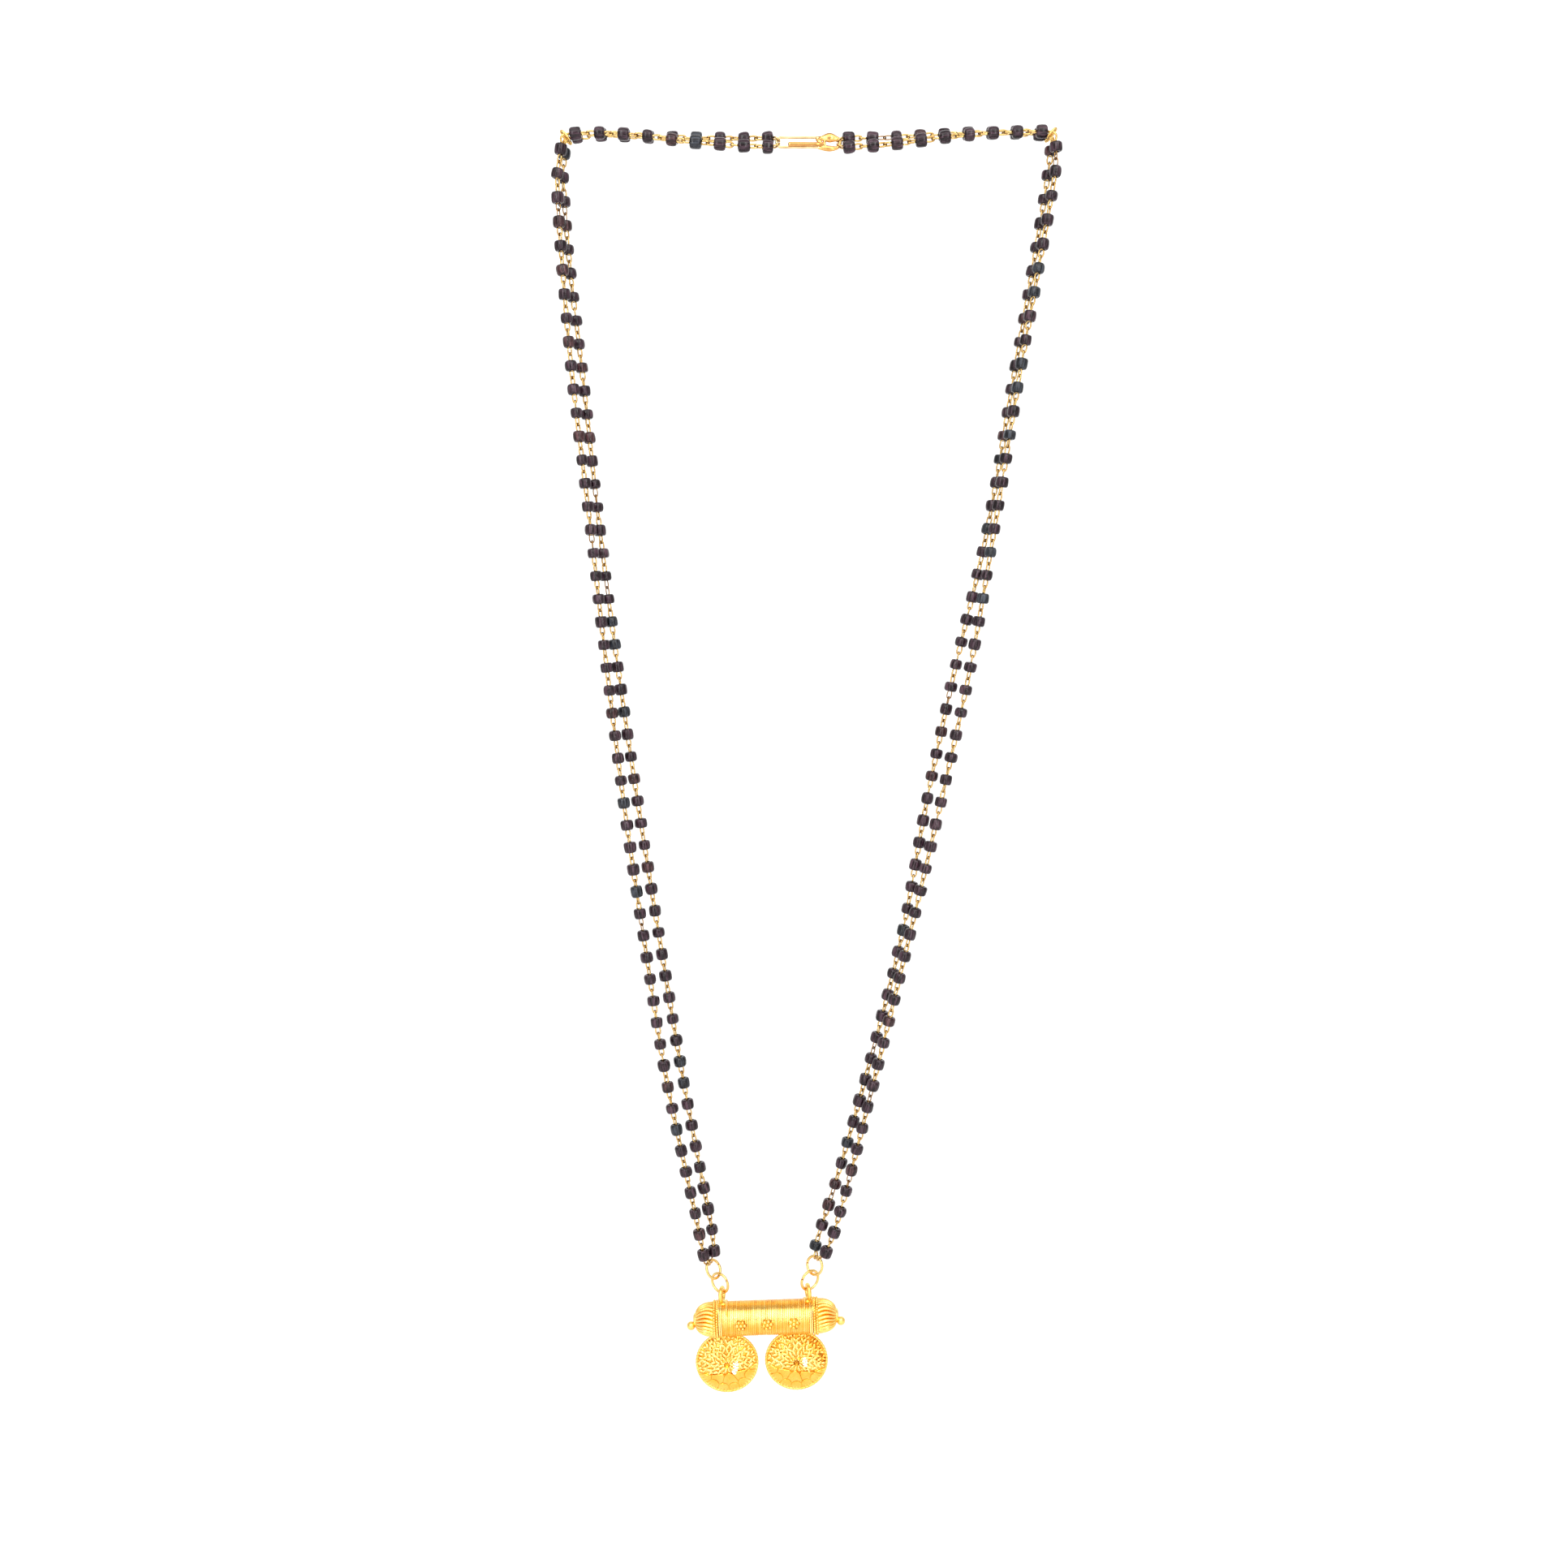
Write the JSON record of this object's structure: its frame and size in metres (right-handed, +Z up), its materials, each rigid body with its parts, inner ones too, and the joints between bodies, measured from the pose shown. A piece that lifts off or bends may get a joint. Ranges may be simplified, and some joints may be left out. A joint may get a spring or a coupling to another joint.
{
  "type": "necklace",
  "caption": "Mangalsutra necklace of black glass seed beads on looped gold wire, with a hook clasp and a wire-wound tube pendant carrying domed bowls.",
  "frame": {"origin": "middle of the line that the necklace hangs from, at the back of the wearer's neck, level with the two upper corners", "axes": "+Z up, +X to the wearer's left (right in the picture), -Y out to the front, where the pendant's domed side faces"},
  "size_m": [0.1046, 0.0086, 0.2719],
  "materials": {
    "bead_glass": "gloss, opaque black with an aubergine cast",
    "gold_wire": "polished gold-plated wire",
    "gold_pendant": "satin gold plate with bright high spots"
  },
  "bodies": {
    "necklace": {"strand_top_left_front": "bead_glass", "strand_top_left_back": "bead_glass", "strand_top_right_front": "bead_glass", "strand_top_right_back": "bead_glass", "strand_left_front": "bead_glass", "strand_left_back": "bead_glass", "strand_right_front": "bead_glass", "strand_right_back": "bead_glass", "clasp_hook": "gold_wire", "ring_left_upper": "gold_wire", "ring_left_lower": "gold_wire", "ring_right_upper": "gold_wire", "ring_right_lower": "gold_wire"},
    "pendant": {"pendant": "gold_pendant"}
  },
  "joints": [
    {"name": "pendant_swing", "type": "hinge", "parent": "necklace", "child": "pendant", "pos_m": [-0.0091, 0, -0.2462], "axis": [0.9994, 0, 0.0349], "range_deg": [-45, 45]}
  ]
}
